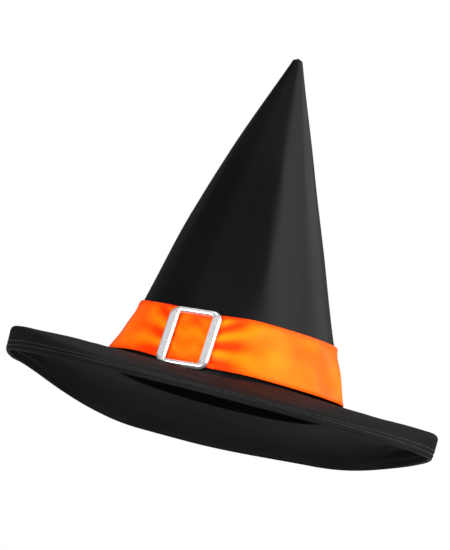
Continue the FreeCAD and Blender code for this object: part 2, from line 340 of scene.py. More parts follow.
def plated():
    """Bright silver plating, brushed up the side bars."""
    coat = {"Coat_Weight": 0.2, "Coat_Roughness": 0.08}
    material, tree, shader = new_material("plated_buckle", Metallic=0.8, **coat)
    where = add_node(tree, "ShaderNodeTexCoord")
    stretch = add_node(tree, "ShaderNodeMapping")
    stretch.inputs["Scale"].default_value = (900.0, 900.0, 60.0)
    tree.links.new(where.outputs["Object"], stretch.inputs["Vector"])
    brushed = add_node(tree, "ShaderNodeTexNoise", Scale=1.0, Detail=2.0)
    tree.links.new(stretch.outputs["Vector"], brushed.inputs["Vector"])
    bump = add_node(tree, "ShaderNodeBump", Strength=0.1, Distance=0.000004)
    tree.links.new(brushed.outputs["Fac"], bump.inputs["Height"])
    tree.links.new(bump.outputs["Normal"], shader.inputs["Normal"])
    silvers = [(NOISE_LOW, (0.70, 0.70, 0.71)), (NOISE_HIGH, (0.76, 0.76, 0.77))]
    colour_by(tree, shader, brushed.outputs["Fac"], silvers)
    rough_by(tree, shader, brushed.outputs["Fac"], 0.2, 0.24)
    return material


CROWN_SATIN = black_satin("crown_satin", rough=0.44, folds=7.0, depth=0.0015, gloss=0.08)
# The brim's satin is a paler copy of the crown's black satin, its base colour 2.2 times lighter: painted
# light standing in for the sheen its low gloss gives up.
BRIM_SATIN = black_satin("brim_satin", rough=0.6, folds=14.0, depth=0.0014, gloss=0.02, painted_light_gain=2.2)
FACING_SATIN = black_satin("facing_satin", rough=0.55, folds=16.0, depth=0.0012, gloss=0.05)
LINING = dull_cloth("lining_cloth", (0.006, 0.006, 0.006))
SWEAT_CLOTH = dull_cloth("sweatband_cloth", (0.0012, 0.0012, 0.0012), gloss=0.02)
FELT = dull_cloth("stiffening_felt", (0.02, 0.02, 0.021), FELT_PITCH)
ORANGE = orange_satin()
BLACK_THREAD = thread("black_thread", (0.012, 0.012, 0.013))
ORANGE_THREAD = thread("orange_thread", (0.9, 0.12, 0.0))
STEEL = steel()
PLATED = plated()

# ---------------------------------------------------------------- crown
CROWN_LEAN = 0.0080
LEAN_START, LEAN_LENGTH = 0.165, 0.7  # shares of the crown's height
CROWN_BELLY = 0.0024
CREASE_TURN = math.radians(-53)  # the fold that packing flat leaves down the front of the cone
CREASE_WIDTH = 0.30
FRONT_CREASE, BACK_CREASE = 0.0016, 0.0012
WIDE_RIPPLE, FINE_RIPPLE = 0.0011, 0.0006
TIP_ROUND = 0.004
TIP_BLUNT = 0.8
TIP_SLOPE = 0.42
LEAST_RADIUS = 0.0002
FOOT_CURL = 0.02  # the height over which the cone's foot runs down to the seam
ROW_CROWDING = 0.9


def crown_profile(up):
    """The cone's outer radius at a height over the seat, before creases."""
    share = up / crown_tall
    straight = crown_radius * (1 - up / crown_meet)
    belly = CROWN_BELLY * smooth((share - 0.16) / 0.3) * smooth((1.02 - share) / 0.35)
    tip = np.sqrt(np.clip((crown_tall - up) * 2 * TIP_ROUND, 0, None)) * TIP_BLUNT
    return np.minimum(straight + belly, tip + TIP_SLOPE * (crown_tall - up))


def crown_surface(turn, up, inset=0.0):
    """Points of the crown at arrays of turn and height; inset goes in through the wall."""
    share = up / crown_tall
    radius = crown_profile(up) - inset / math.cos(SLOPE)
    amount = smooth((share - 0.12) / 0.25) * smooth((1.0 - share) / 0.06)
    wide = np.clip(radius / crown_radius, 0.12, 1)
    ripples = WIDE_RIPPLE * ripple(turn, up * 0.25, 0.035, 3.0)
    ripples = ripples + FINE_RIPPLE * ripple(turn, up * 0.3, 0.014, 9.0)
    front = FRONT_CREASE * around(turn, CREASE_TURN, CREASE_WIDTH)
    back = BACK_CREASE * around(turn, CREASE_TURN + math.pi, CREASE_WIDTH)
    radius = radius + amount * wide * (ripples + (front + back))
    radius = np.clip(radius, LEAST_RADIUS, None)
    lean = CROWN_LEAN * (1 - (1 - np.clip((share - LEAN_START) / LEAN_LENGTH, 0, 1)) ** 2)
    x = radius * np.cos(turn) - lean * along[0]
    y = radius * np.sin(turn) - lean * along[1]
    sink = SEAM_DROP * smooth(1 - up / FOOT_CURL)
    return np.stack([x, y, seat + up - sink], axis=-1)


def crown_layer(name, inset, thickness, short=0.0, columns=160, rows=80):
    """One layer of the cone, ending short of its tip."""
    climb = (crown_tall - short) * np.linspace(0, 1, rows) ** ROW_CROWDING
    turns = np.arange(columns) * TAU / columns
    turn, up = np.meshgrid(turns, climb)
    points = crown_surface(turn, up, inset)
    uv = np.stack([turn * crown_radius, up / math.cos(SLOPE)], axis=-1)
    piece = grid_object(name, points, True, uv)
    return thicken(piece, thickness)


COVER_THICK = 0.0006
FELT_INSET, FELT_THICK, FELT_SHORT = 0.0007, 0.0014, 0.006
LINING_INSET, LINING_THICK, LINING_SHORT = 0.0023, 0.0004, 0.012


def build_crown():
    cover = crown_layer("crown_satin_cover", 0.0, COVER_THICK, columns=240, rows=120)
    finish_piece(cover, CROWN_SATIN, "black_satin", "hat", "crown_cover")
    felt = crown_layer("crown_felt", FELT_INSET, FELT_THICK, FELT_SHORT)
    finish_piece(felt, FELT, "felt_stiffener", "hat", "crown_stiffener")
    lining = crown_layer("crown_lining_cloth", LINING_INSET, LINING_THICK, LINING_SHORT)
    finish_piece(lining, LINING, "black_lining", "hat", "crown_lining")


TAPE_HALF, TAPE_LOW, TAPE_HIGH = 0.006, 0.028, 0.222
TAPE_INSET, TAPE_PUFF, TAPE_THICK = 0.0029, 0.0003, 0.0005


def build_seam_tape():
    """The tape over the cone's seam, inside its back."""
    ups = np.linspace(TAPE_LOW, TAPE_HIGH, 60)
    across = np.linspace(-TAPE_HALF, TAPE_HALF, 7)
    across, up = np.meshgrid(across, ups)
    turn = math.pi / 2 - across / crown_profile(up)
    puff = TAPE_PUFF * (1 - (across / TAPE_HALF) ** 2)
    points = crown_surface(turn, up, TAPE_INSET + puff)
    uv = np.stack([across, up], axis=-1)
    tape = thicken(grid_object("crown_tape", points, False, uv, flip=True), TAPE_THICK)
    finish_piece(tape, LINING, "black_lining", "hat", "crown_seam_tape")


SWEAT_HANG = 0.0100  # how far the strip hangs under the seam at the back
SWEAT_LIP = 0.0024  # it stands straight up to here, and leans in with the cone above
SWEAT_SLACK = 0.0004
SWEAT_THICK = 0.0009


def build_sweatband():
    """The strip inside the opening."""
    top = sweat_high.z - seat
    shares = np.concatenate([np.linspace(-1, 0, 12), np.linspace(0, 1, 24)[1:]])
    turns = np.arange(240) * TAU / 240
    turn, share = np.meshgrid(turns, shares)
    hang = SWEAT_HANG * np.clip(np.sin(turn - LEAN_TURN), 0, 1) ** 0.6
    below = SWEAT_LIP + share * (sweat_drop + SWEAT_LIP + hang)
    up = np.where(share < 0, below, SWEAT_LIP + share * (top - SWEAT_LIP))
    taper = math.tan(SLOPE) * np.clip(up - SWEAT_LIP, 0, None)
    slack = SWEAT_SLACK * ripple(turn, up, 0.02, 5.0) * smooth((up - 0.004) / 0.01)
    radius = head_radius - taper - np.abs(slack)
    points = np.stack([radius * np.cos(turn), radius * np.sin(turn), seat + up], axis=-1)
    uv = np.stack([turn * head_radius, up], axis=-1)
    strip = thicken(grid_object("sweatband_cloth", points, True, uv, flip=True), SWEAT_THICK)
    finish_piece(strip, SWEAT_CLOTH, "black_lining", "hat", "sweatband")


# ---------------------------------------------------------------- brim
BRIM_LENGTH = 0.1065  # from the opening to the hem along the cloth
HEM_ROUND = 0.0017
HEM_RETURN = 0.0066  # how far the cloth comes back under the hem
HEM_CLOTH = 0.0125  # all the cloth past the hem's fold
INNER_ROWS = 105  # the felt and the facing end under the hem's return
BRIM_SATIN_THICK = 0.0005
BRIM_FELT_DEPTH, BRIM_FELT_THICK = 0.0006, 0.0022
FACING_DEPTH = 0.0030
FACING_PUCKER = 0.0006
TOP_LEVEL = -0.0008  # the brim's top at the opening, from the seat

HEM_LEVEL = 0.0224  # how far the level ends hang
TIP_DROP = 0.0022
FAR_DROP, FAR_MORE = 0.0212, 0.0056
FOLD_START, FOLD_EARLIER = 0.79, 0.005  # shares of the way out
FOLD_SOFT, FOLD_SOFTER = 0.075, 0.15
FOLD_TURN, FOLD_TURN_ENDS = 12, 80  # degrees
FIRST_SLOPE, FIRST_SLOPE_SIDES = 2.0, 6.5  # degrees
BEND_LOW, BEND_HIGH = -0.6, 1.8
HALVINGS = 40


def hem_droop(turn):
    """How far the hem hangs below the seat; turn is from the brim's level right end, far side up."""
    degrees = np.degrees(turn) % 360
    hang = smooth((degrees - 10) / 50) * smooth((162 - degrees) / 52)
    tips = around(turn, 0.28, 0.4) + around(turn, math.pi - 0.26, 0.4)
    return HEM_LEVEL + TIP_DROP * tips + hang * (FAR_DROP + FAR_MORE * smooth((degrees - 55) / 40))


def brim_lines(columns=360, steps=110):
    """Radius, height and slope of the brim's top, going out along the cloth at each turn.

    The cloth's bend is found at each turn by halving, so that its length ends at the hem's droop.
    """
    turns = np.arange(columns) * TAU / columns
    local = turns - LEAN_TURN
    shares = np.linspace(0, 1, steps)[:, None]
    ends = np.abs(np.cos(local)) ** 2.5  # 1 at the brim's two level ends
    fold_start = FOLD_START - FOLD_EARLIER * ends
    fold_wide = FOLD_SOFT + FOLD_SOFTER * (1 - ends)
    fold = np.radians(FOLD_TURN + FOLD_TURN_ENDS * ends) * smooth((shares - fold_start) / fold_wide)
    first = np.radians(FIRST_SLOPE + FIRST_SLOPE_SIDES * (1 - ends))
    step = BRIM_LENGTH / (steps - 1)
    low, high = np.full(columns, BEND_LOW), np.full(columns, BEND_HIGH)
    for _ in range(HALVINGS):
        bend = (low + high) / 2
        slope = first + bend * shares**1.1 + fold
        drop = np.sin((slope[1:] + slope[:-1]) / 2).sum(axis=0) * step
        under = drop < hem_droop(local)
        low, high = np.where(under, bend, low), np.where(under, high, bend)
    middle = (slope[1:] + slope[:-1]) / 2
    radius = hole_radius + np.vstack([np.zeros(columns), np.cumsum(np.cos(middle) * step, axis=0)])
    height = TOP_LEVEL - np.vstack([np.zeros(columns), np.cumsum(np.sin(middle) * step, axis=0)])
    out = shares[:, 0] * BRIM_LENGTH
    height = height - foot_dip(turns[None], (radius - crown_radius).clip(0))
    return turns, out, radius, height, slope


WIDE_CREASE, FINE_CREASE = 0.0010, 0.0005
PINCH = 0.0012
PINCH_AT = (BUCKLE_TURN - 0.03, 0.4)


def brim_creases(turn, out):
    """Small rises and hollows of the cloth over the brim, and its pinched folds under the buckle."""
    share = out / BRIM_LENGTH
    fade = smooth(share / 0.15) * smooth((1 - share) / 0.08)
    wide = WIDE_CREASE * ripple(turn, out, 0.045, 1.0) + FINE_CREASE * ripple(turn, out, 0.02, 7.0)
    dent = around(turn, *PINCH_AT) * smooth(1 - np.abs(share - 0.2) / 0.16)
    pinched = PINCH * dent * np.sin(34 * turn + 60 * share)
    return fade * (wide + pinched)


def brim_offset(lines, depth, last=None):
    """Points of the brim a depth below its top face, out to index last."""
    turns, out, radius, height, pitch = lines
    turn, along_out = np.meshgrid(turns, out)
    inward = depth - brim_creases(turn, along_out)
    r = radius - inward * np.sin(pitch)
    z = height - inward * np.cos(pitch)
    points = np.stack([r * np.cos(turn), r * np.sin(turn), seat + z], axis=-1)
    return points[:last]


LINES = brim_lines()


def hem_turn(lines, steps=8, back=10):
    """The cloth's path round the hem and back under it: rows of points after the top's last row."""
    turns = lines[0]
    last_r, last_z, last_p = (values[-1] for values in lines[2:])
    outward = np.stack([np.cos(last_p), -np.sin(last_p)])
    down = np.stack([-np.sin(last_p), -np.cos(last_p)])
    centre = np.stack([last_r, last_z]) + down * HEM_ROUND
    rows = []
    for angle in np.linspace(0, math.pi, steps + 1)[1:]:
        rows.append(centre + HEM_ROUND * (outward * math.sin(angle) - down * math.cos(angle)))
    end = rows[-1]
    for k in range(1, back + 1):
        rows.append(end - outward * HEM_RETURN * k / back)
    return np.array([np.stack([r * np.cos(turns), r * np.sin(turns), seat + z], axis=-1) for r, z in rows])


def build_brim():
    turns, out = LINES[0], LINES[1]
    top = np.concatenate([brim_offset(LINES, 0.0), hem_turn(LINES)])
    past_hem = out[-1] + np.linspace(0.0008, HEM_CLOTH, top.shape[0] - len(out))
    turn, run = np.meshgrid(turns, np.concatenate([out, past_hem]))
    uv = np.stack([turn * hole_radius, run], axis=-1)
    cover = thicken(grid_object("brim_satin_top", top, True, uv, flip=True), BRIM_SATIN_THICK)
    finish_piece(cover, BRIM_SATIN, "black_satin", "hat", "brim_top_cover")

    turn, run = np.meshgrid(turns, out[:INNER_ROWS])
    uv = np.stack([turn * hole_radius, run], axis=-1)
    inner = brim_offset(LINES, BRIM_FELT_DEPTH, INNER_ROWS)
    felt = thicken(grid_object("brim_felt", inner, True, uv, flip=True), BRIM_FELT_THICK)
    finish_piece(felt, FELT, "felt_stiffener", "hat", "brim_stiffener")

    under = brim_offset(LINES, FACING_DEPTH, INNER_ROWS)
    puckers = FACING_PUCKER * ripple(turn, run, 0.018, 21.0) * smooth(run / 0.02)
    under[..., 2] -= np.abs(puckers)
    facing = thicken(grid_object("brim_satin_facing", under, True, uv, flip=True), BRIM_SATIN_THICK)
    finish_piece(facing, FACING_SATIN, "black_satin", "hat", "brim_facing")


def row_path(at, lift):
    """A closed path round the brim at a distance out along the cloth, lifted off its face."""
    out = LINES[1]
    index = at / (out[1] - out[0])
    low = int(index)
    mix = index - low
    face = brim_offset(LINES, -lift)
    return face[low] * (1 - mix) + face[low + 1] * mix


# one stitch's rings: how far along it, how wide, and how high, as shares of its length and thickness
STITCH_RINGS = ((0.0, 0.25, -0.3), (0.15, 0.9, 0.3), (0.5, 1.0, 0.6), (0.85, 0.9, 0.3), (1.0, 0.25, -0.3))
STITCH_SIDES = 6


def stitches(name, path, length, gap, thick):
    """Separate stitches laid along a closed path, each a short rounded thread."""
    closed = np.vstack([path, path[:1]])
    step = np.linalg.norm(np.diff(closed, axis=0), axis=1)
    travelled = np.concatenate([[0], np.cumsum(step)])
    total = travelled[-1]
    count = round(total / (length + gap))
    pitch = total / count
    points, faces = [], []
    sides = STITCH_SIDES
    for i in range(count):
        begin = i * pitch
        base = len(points)
        middle = np.array([np.interp(begin + pitch / 2, travelled, closed[:, k]) for k in range(3)])
        first = np.array([np.interp(begin, travelled, closed[:, k]) for k in range(3)])
        ahead = middle - first
        ahead /= np.linalg.norm(ahead)
        out = np.array([middle[0], middle[1], 0])
        side = np.cross(ahead, out / np.linalg.norm(out))
        side /= np.linalg.norm(side)
        across = np.cross(side, ahead)
        for share, wide, lift in STITCH_RINGS:
            centre = first + ahead * share * length - side * lift * thick
            for k in range(sides):
                angle = TAU * k / sides
                points.append(centre + thick * wide * (math.cos(angle) * across + math.sin(angle) * side))
        for ring in range(len(STITCH_RINGS) - 1):
            for k in range(sides):
                a, b = base + ring * sides + k, base + ring * sides + (k + 1) % sides
                faces.append((a, b, b + sides, a + sides))
        faces.append(tuple(base + k for k in range(sides))[::-1])
        faces.append(tuple(base + (len(STITCH_RINGS) - 1) * sides + k for k in range(sides)))
    mesh = bpy.data.meshes.new(name)
    mesh.from_pydata([tuple(p) for p in points], [], faces)
    mesh.shade_smooth()
    piece = bpy.data.objects.new(name, mesh)
    bpy.context.scene.collection.objects.link(piece)
    return piece


STITCH = (0.0024, 0.0007, 0.00028)  # length, gap and thickness
STITCH_LIFT = 0.0001
INNER_ROW, OUTER_ROW = 0.0060, 0.0022  # back from the hem
SEAM_ROW, SEAM_LIFT = 0.0042, -0.0038


def build_stitching():
    for name, back_from_hem, node in (
        ("topstitch_inner", INNER_ROW, "brim_stitch_inner"),
        ("topstitch_outer", OUTER_ROW, "brim_stitch_outer"),
    ):
        row = stitches(name, row_path(BRIM_LENGTH - back_from_hem, STITCH_LIFT), *STITCH)
        finish_piece(row, BLACK_THREAD, "black_thread", "hat", node)
    seam = stitches("opening_seam_stitches", row_path(SEAM_ROW, SEAM_LIFT), *STITCH)
    finish_piece(seam, BLACK_THREAD, "black_thread", "hat", "opening_stitch")


WIRE_IN, WIRE_LIFT = 0.0026, -0.0018
WIRE_RADIUS, SLEEVE_RADIUS, SLEEVE_WALL = 0.0008, 0.0011, 0.0002
WIRE_END_GAP = 2  # columns of the brim on each side of the wire's meeting point
WIRE_MEETS_AT = 0.25  # a quarter turn round from +X: the hat's back
SLEEVE_HALF = 5  # columns of the brim to each side of that point


def build_wire():
    """The sprung wire in the hem, its ends meeting in a sleeve at the back."""
    path = row_path(BRIM_LENGTH - WIRE_IN, WIRE_LIFT)
    start = int(len(path) * WIRE_MEETS_AT)
    order = np.roll(np.arange(len(path)), -(start + WIRE_END_GAP))[: len(path) - 2 * WIRE_END_GAP + 1]
    wire = grid_object("hem_wire", tube_points(path[order], WIRE_RADIUS), True)
    finish_piece(wire, STEEL, "spring_wire", "hat", "brim_edge_wire")
    around_joint = np.roll(np.arange(len(path)), -(start - SLEEVE_HALF))[: 2 * SLEEVE_HALF + 1]
    sleeve = grid_object("wire_sleeve_tube", tube_points(path[around_joint], SLEEVE_RADIUS), True)
    finish_piece(thicken(sleeve, SLEEVE_WALL), STEEL, "spring_wire", "hat", "wire_sleeve")


# ---------------------------------------------------------------- band
BAND_FOOT, BAND_TOP = 0.0006, 0.0460
WINDOW_HALF = 0.215  # the stretch seen in the buckle's window, with its ends behind the side bars
SIDE_END = 2.2  # where the parts beside the buckle meet the part round the back
NEAR_WIDTH = 0.62  # the turn to each side of the buckle over which the band rides lower
NEAR_FOOT, NEAR_TOP = 0.0031, 0.0042
TOP_NOTCH, NOTCH_WIDTH = 0.0014, 0.14
LEFT_FOOT, LEFT_FOOT_AT = 0.0014, (BUCKLE_TURN - 0.85, 0.55)
LEFT_TOP, LEFT_AT = 0.0027, (BUCKLE_TURN - 1.15, 0.8)
SHOULDER, SHOULDER_AT = 0.0026, (BUCKLE_TURN - 0.55, 0.45)
STAND_OFF, FOOT_FLARE = 0.0022, 0.0012  # out from the cone
LEFT_WAIST, LEFT_CLOSER = 0.0010, 0.0004
PUFF = 0.0006
HEM_RIDGE, HEM_AT, HEM_WIDTH = 0.00028, 0.05, 0.04
WIDE_SOFT, FINE_SOFT = 0.0011, 0.0006
FAN_FOLDS, DRAG_FOLDS = 0.0010, 0.0005
FAN_RISE, FAN_PITCH, FAN_SPREAD = 0.27, 0.023, 0.1
LEAST_OFF, MOST_OFF = 0.0009, 0.0050
UNDER_FRAME, FRAME_REACH = 0.0031, 0.27
# The span of the band's painted light and shade, from the painted shade of the deepest valley to the
# painted highlight of the highest ridge.
PAINTED_LIGHT_SPAN = 0.0019  # from the deepest valley to the highest ridge
BAND_THICK = 0.0007
MIDDLE_OFF = 0.003  # how far the band's middle stands out from the cone, for its flat length


def band_painted_light(turn, rise, from_buckle, edge, inside, soft, fan):
    """Painted light and shade for the satin's colour at each point, in metres of fold height: folds, hems
    and pulls together.
    """
    reach = np.abs(from_buckle)
    # Painted shade: darker red in the pulled folds a little way to each side of the buckle.
    pulled_fold_shade = 0.0004 * smooth(1 - np.abs(reach - 0.34) / 0.2)
    # Painted light: lighter towards the buckle's right, where the key light falls.
    lit = 0.0003 * smooth((from_buckle - 0.35) / 0.4)
    # Painted shade in the hollows of the soft ripples and fan folds, painted highlight on their rises.
    painted_light = 0.5 * edge * soft + edge * 0.0008 * fan - pulled_fold_shade + lit
    # Painted shade along the band's upper and lower edges and inside the buckle's window under its frame,
    # with wavy painted creases there.
    wavy = np.sin(19 * rise + 6 * turn + 1.5 * np.sin(23 * turn + 4 * rise))
    return painted_light - 0.0006 * (1 - edge) + inside * (0.0002 * edge * wavy - 0.0003)


def band_surface(turn, rise, inset=0.0):
    """Points of the band and their painted light and shade; rise is 0 at its lower edge and 1 at its upper
    edge.
    """
    from_buckle = (turn - BUCKLE_TURN + math.pi) % TAU - math.pi
    reach = np.abs(from_buckle)
    near = smooth(1 - reach / NEAR_WIDTH)
    inside = smooth(1 - (reach - 0.16) / 0.1)
    left = around(turn, *LEFT_AT)
    foot = BAND_FOOT - NEAR_FOOT * near - LEFT_FOOT * around(turn, *LEFT_FOOT_AT)
    top = BAND_TOP - NEAR_TOP * near - TOP_NOTCH * around(turn, BUCKLE_TURN, NOTCH_WIDTH)
    top = top - LEFT_TOP * left - SHOULDER * around(turn, *SHOULDER_AT)
    up = foot + (top - foot) * rise

    waist = np.sin(math.pi * np.clip(rise, 0, 1))
    flare = FOOT_FLARE * smooth((0.3 - rise) / 0.3) * (1 - near)
    off = STAND_OFF + flare - LEFT_WAIST * left * waist - LEFT_CLOSER * left
    puff = PUFF * waist * (1 - left) * (1 - 0.7 * inside)
    low_hem = smooth(1 - np.abs(rise - HEM_AT) / HEM_WIDTH)
    high_hem = smooth(1 - np.abs(rise - (1 - HEM_AT)) / HEM_WIDTH)
    hem = HEM_RIDGE * (low_hem + high_hem)
    soft = WIDE_SOFT * ripple(turn, up, 0.03, 13.0) + FINE_SOFT * ripple(turn, up, 0.012, 17.0)
    pull = smooth((reach - 0.17) / 0.08) * smooth((0.75 - reach) / 0.5)
    fan = pull * np.cos((rise - FAN_RISE) / (FAN_PITCH + FAN_SPREAD * reach))
    edge = smooth(rise / 0.12) * smooth((1 - rise) / 0.12)
    drag = np.sin(9.0 * turn + 7.0 * rise + 2.0 * np.sin(5.0 * turn)) * smooth((reach - 0.5) / 0.4)
    folds = edge * (soft * (0.8 - 0.1 * inside) + FAN_FOLDS * fan + DRAG_FOLDS * drag)
    off = np.clip(off + puff + hem + folds, LEAST_OFF, MOST_OFF)
    under_frame = UNDER_FRAME + 0.02 * np.clip(reach - 0.1, 0, 1)
    off = np.where(reach < FRAME_REACH, np.minimum(off, under_frame), off)
    radius = crown_radius * (1 - up / crown_meet) + (off - inset) / math.cos(SLOPE)
    points = np.stack([radius * np.cos(turn), radius * np.sin(turn), seat + up], axis=-1)
    return points, band_painted_light(turn, rise, from_buckle, edge, inside, soft, fan)


def paint_light_and_shade(piece, painted_light):
    """Stores on the satin its painted light and shade for the colour ramp: painted shade of a valley (0) to
    painted highlight of a ridge (1).
    """
    layer = piece.data.attributes.new("fold", "FLOAT", "POINT")
    layer.data.foreach_set("value", np.clip(0.5 + painted_light.ravel() / PAINTED_LIGHT_SPAN, 0, 1))


def band_part(name, start, end, columns):
    turns = np.linspace(start, end, columns)
    rises = np.linspace(0, 1, 56)
    turn, rise = np.meshgrid(turns, rises)
    points, painted_light = band_surface(turn, rise)
    tall = (BAND_TOP - BAND_FOOT) / math.cos(SLOPE)
    middle = crown_radius * (1 - (BAND_TOP + BAND_FOOT) / 2 / crown_meet) + MIDDLE_OFF
    uv = np.stack([turn * middle, rise * tall], axis=-1)
    part = thicken(grid_object(name, points, False, uv), BAND_THICK)
    # Painted light and shade goes on the band as its fold attribute.
    paint_light_and_shade(part, painted_light)
    paint(part, ORANGE)
    return part


def apply_skins(piece):
    """Makes the thickness part of the mesh."""
    graph = bpy.context.evaluated_depsgraph_get()
    solid = bpy.data.meshes.new_from_object(piece.evaluated_get(graph))
    piece.modifiers.clear()
    piece.data = solid


def build_band():
    turns = {
        "band_window": (BUCKLE_TURN - WINDOW_HALF, BUCKLE_TURN + WINDOW_HALF, 40),
        "band_right": (BUCKLE_TURN + WINDOW_HALF, BUCKLE_TURN + SIDE_END, 150),
        "band_left": (BUCKLE_TURN - SIDE_END, BUCKLE_TURN - WINDOW_HALF, 150),
        "band_back": (BUCKLE_TURN + SIDE_END, BUCKLE_TURN + TAU - SIDE_END, 130),
    }
    parts = {name: band_part(name, *values) for name, values in turns.items()}
    for part in parts.values():
        apply_skins(part)
    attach(parts["band_window"], "buckle")
    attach(parts["band_back"], "hat")
    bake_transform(parts["band_right"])
    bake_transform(parts["band_left"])
    for part in parts.values():
        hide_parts("hat_band")


LAP_HALF = math.radians(7.5)
LAP_LIFT, LAP_RIDGE = 0.0009, 0.0004
LAP_RADIUS, LAP_UV_RADIUS = 0.091, 0.09


def build_band_end():
    """The band's free end, lapped over its start at the back and turned under."""
    turns = np.linspace(math.pi / 2 - LAP_HALF, math.pi / 2 + LAP_HALF, 36)
    rises = np.linspace(0.01, 0.99, 40)
    turn, rise = np.meshgrid(turns, rises)
    share = (turn - turns[0]) / (turns[-1] - turns[0])
    lift = LAP_LIFT + LAP_RIDGE * smooth(1 - np.abs(share - 0.04) / 0.06)
    points, painted_light = band_surface(turn, rise, -lift)
    tall = (BAND_TOP - BAND_FOOT) / math.cos(SLOPE)
    uv = np.stack([turn * LAP_UV_RADIUS, rise * tall], axis=-1)
    end = thicken(grid_object("band_end", points, False, uv), BAND_THICK)
    # Painted light and shade goes on the lapped end too.
    paint_light_and_shade(end, painted_light)
    finish_piece(end, ORANGE, "orange_satin", "hat", "band_lap_end")


# ---------------------------------------------------------------- buckle
# Its own frame: X along the band, Y up the slope, Z out from the cone's surface.
BUCKLE_WIDE, BUCKLE_TALL, BUCKLE_THICK = 0.0445, 0.0520, 0.0034
SIDE_BAR, END_BAR = 0.00775, 0.0048
OUTER_CORNER, WINDOW_CORNER = 0.0080, 0.0020
BEVEL = 0.0011
CAMBER_EDGE, CAMBER = 0.0012, 0.0024  # an end bar's height at its edges, and its rise to the middle
CAMBER_START, CAMBER_BLEND = 0.0170, 0.0065
BUCKLE_RISE = 0.0175
BUCKLE_ROLL = math.radians(4.5)
FRAME_BACK = 0.0033
BAR_HALF, BAR_NEAR, BAR_FAR = 0.0025, 0.0005, 0.0017
LEG_THICK, LEG_OVERLAP = 0.0015, 0.0008
LEG_INSET = 0.0001
SHARP = math.radians(30)
QUARTER = math.pi / 2


def rounded_outline(half_wide, half_tall, corner, straight=14, bend=10):
    """Points round a rectangle with round corners, the same number along each stretch."""
    inner_x, inner_y = half_wide - corner, half_tall - corner
    signs = ((1, 1), (-1, 1), (-1, -1), (1, -1))

    def on_corner(k, angle):
        sx, sy = signs[k % 4]
        return np.array((sx * inner_x + corner * math.cos(angle), sy * inner_y + corner * math.sin(angle)))

    points = []
    for k in range(4):
        last = (k + 1) * QUARTER
        points += [on_corner(k, angle) for angle in np.linspace(k * QUARTER, last, bend, endpoint=False)]
        begin, end = on_corner(k, last), on_corner(k + 1, last)
        points += [begin + (end - begin) * share for share in np.linspace(0, 1, straight, endpoint=False)]
    return np.array(points)


def frame_ring(bevel_steps=4, face_steps=12):
    """The frame's skin: side bars flat with bevelled edges, end bars rounded over."""
    outer = rounded_outline(BUCKLE_WIDE / 2, BUCKLE_TALL / 2, OUTER_CORNER)
    inner = rounded_outline(BUCKLE_WIDE / 2 - SIDE_BAR, BUCKLE_TALL / 2 - END_BAR, WINDOW_CORNER)
    wide = np.linalg.norm(outer - inner, axis=1)
    edge = BEVEL / wide
    at_end = smooth((np.abs(outer[:, 1]) - CAMBER_START) / CAMBER_BLEND)
    steps = [edge * k / bevel_steps for k in range(bevel_steps + 1)]
    steps += [edge + (1 - 2 * edge) * k / face_steps for k in range(1, face_steps)]
    steps += [1 - edge * k / bevel_steps for k in range(bevel_steps, -1, -1)]
    rows = [(np.zeros_like(wide), np.full_like(wide, FRAME_BACK))]
    for share in steps:
        depth = np.minimum(share, 1 - share) * wide
        flat = BUCKLE_THICK - np.clip(BEVEL - depth, 0, None)
        curve = CAMBER_EDGE + CAMBER * np.sqrt(np.clip(1 - (2 * share - 1) ** 2, 0, None))
        rows.append((share, FRAME_BACK + flat * (1 - at_end) + curve * at_end))
    rows.append((np.ones_like(wide), np.full_like(wide, FRAME_BACK)))
    ring = []
    for share, out in rows:
        inward = share[:, None]
        ring.append(np.column_stack([outer * (1 - inward) + inner * inward, out]))
    return np.array(ring)


def block(low, high):
    """Corners and faces of a straight bar."""
    corners = [(x, y, z) for z in (low[2], high[2]) for y in (low[1], high[1]) for x in (low[0], high[0])]
    return corners, [(0, 2, 3, 1), (4, 5, 7, 6), (0, 1, 5, 4), (2, 6, 7, 3), (0, 4, 6, 2), (1, 3, 7, 5)]


def build_buckle():
    """The frame, with its two legs and its bar behind the band."""
    ring = frame_ring()
    rows, columns = ring.shape[:2]
    points = ring.reshape(-1, 3).tolist()
    faces = []
    for i in range(rows):
        for j in range(columns):
            k, below = (j + 1) % columns, (i + 1) % rows
            faces.append((i * columns + j, i * columns + k, below * columns + k, below * columns + j))
    top, leg_top = BUCKLE_TALL / 2, FRAME_BACK + LEG_OVERLAP
    for low, high in (
        ((-BAR_HALF, top - LEG_THICK, BAR_NEAR), (BAR_HALF, top - LEG_INSET, leg_top)),
        ((-BAR_HALF, LEG_INSET - top, BAR_NEAR), (BAR_HALF, LEG_THICK - top, leg_top)),
        ((-BAR_HALF, LEG_INSET - top, BAR_NEAR), (BAR_HALF, top - LEG_INSET, BAR_FAR)),
    ):
        corners, sides = block(low, high)
        faces += [tuple(len(points) + k for k in side) for side in sides]
        points += corners
    surface = crown_radius - math.tan(SLOPE) * BUCKLE_RISE
    lean = Matrix.Rotation(QUARTER - SLOPE, 4, "X") @ Matrix.Rotation(BUCKLE_ROLL, 4, "Z")
    place = Matrix.Translation((0, -surface, seat + BUCKLE_RISE)) @ lean
    mesh = bpy.data.meshes.new("slider_buckle")
    mesh.from_pydata([tuple(place @ Vector(p)) for p in points], [], faces)
    mesh.shade_smooth()
    mesh.set_sharp_from_angle(angle=SHARP)
    piece = bpy.data.objects.new("slider_buckle", mesh)
    bpy.context.scene.collection.objects.link(piece)
    finish_piece(piece, PLATED, "plated_buckle", "buckle", "buckle_frame")


